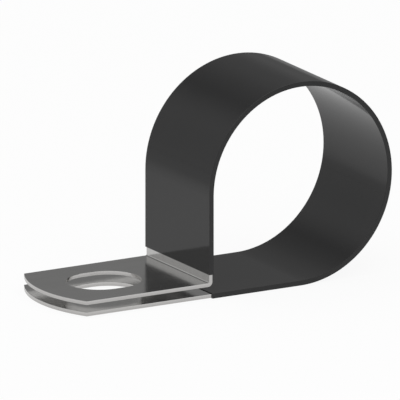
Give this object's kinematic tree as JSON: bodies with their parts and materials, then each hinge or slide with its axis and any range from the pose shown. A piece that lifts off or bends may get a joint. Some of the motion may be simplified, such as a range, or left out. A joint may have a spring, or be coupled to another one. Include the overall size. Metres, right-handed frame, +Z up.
{
  "type": "p clip",
  "caption": "P-shaped cable clip: a flat metal strap bent into a plastic-coated loop that holds a cable or pipe, with slotted flat tabs that bolt to a surface.",
  "frame": {"origin": "centre of the bolt slot, on the underside of the lower tab", "axes": "+Y along the tabs from the slot to the loop, +X along the loop's axis, +Z up from the resting face"},
  "size_m": [0.0206, 0.0586, 0.0336],
  "materials": {
    "bright_steel": "bright rolled strip, satin to mirror smooth, with fine lines along the strap and sheared edges",
    "black_vinyl": "glossy black, smooth, with a faint orange peel and slightly paler edges"
  },
  "bodies": {
    "root": {"steel_strap": "bright_steel", "vinyl_coating": "black_vinyl"}
  },
  "joints": []
}
